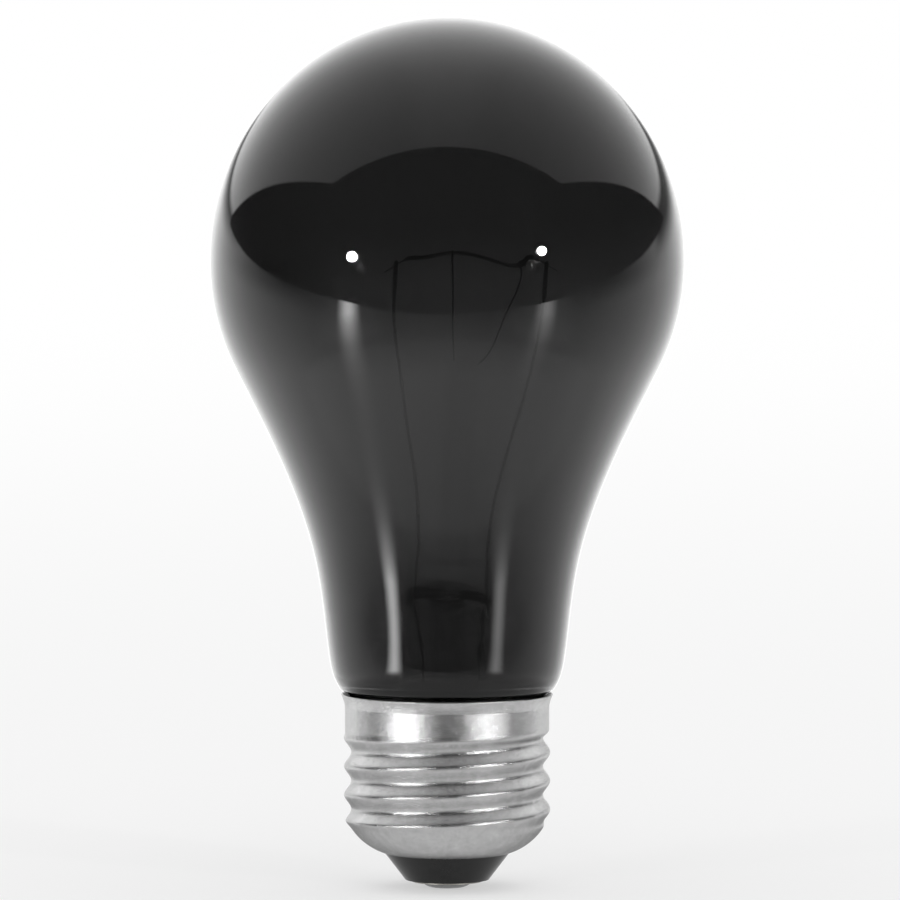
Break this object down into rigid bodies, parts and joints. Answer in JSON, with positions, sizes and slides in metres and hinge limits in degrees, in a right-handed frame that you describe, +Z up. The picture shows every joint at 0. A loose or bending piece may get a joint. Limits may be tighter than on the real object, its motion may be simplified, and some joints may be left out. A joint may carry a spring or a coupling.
{
  "type": "black light bulb",
  "caption": "Pear-shaped filament black light bulb with a near-black filter glass envelope on a medium screw cap, screwed into a lamp holder to give dim ultraviolet light.",
  "frame": {"origin": "tip of the centre contact, on the lamp axis, which is where the lamp seats in its holder", "axes": "+Z up along the lamp axis from the contact to the crown; -Y is the front that the picture shows, +X is to its right"},
  "size_m": [0.0602, 0.0602, 0.1103],
  "materials": {
    "filter_glass": "clear gloss, near-black neutral filter glass",
    "cap_aluminium": "satin, faintly mottled",
    "black_vitrite": "gloss, opaque black",
    "contact_brass": "dull",
    "solder": "smooth, bright grey",
    "stem_glass": "clear gloss",
    "nickel_wire": "drawn wire",
    "seal_wire": "drawn wire",
    "support_wire": "drawn wire",
    "tungsten_wire": "drawn wire, dark grey",
    "basing_cement": "matte, baked"
  },
  "bodies": {
    "root": {"envelope": "filter_glass", "screw_shell": "cap_aluminium", "insulator": "black_vitrite", "contact_plate": "contact_brass", "contact_solder": "solder", "side_solder": "solder", "stem_flare": "stem_glass", "exhaust_tube": "stem_glass", "arbor_rod": "stem_glass", "inner_lead_left": "nickel_wire", "inner_lead_right": "nickel_wire", "dumet_left": "seal_wire", "dumet_right": "seal_wire", "outer_lead_left": "seal_wire", "outer_lead_right": "seal_wire", "support_wire_centre": "support_wire", "support_wire_right": "support_wire", "filament": "tungsten_wire", "basing_cement": "basing_cement"}
  },
  "joints": []
}
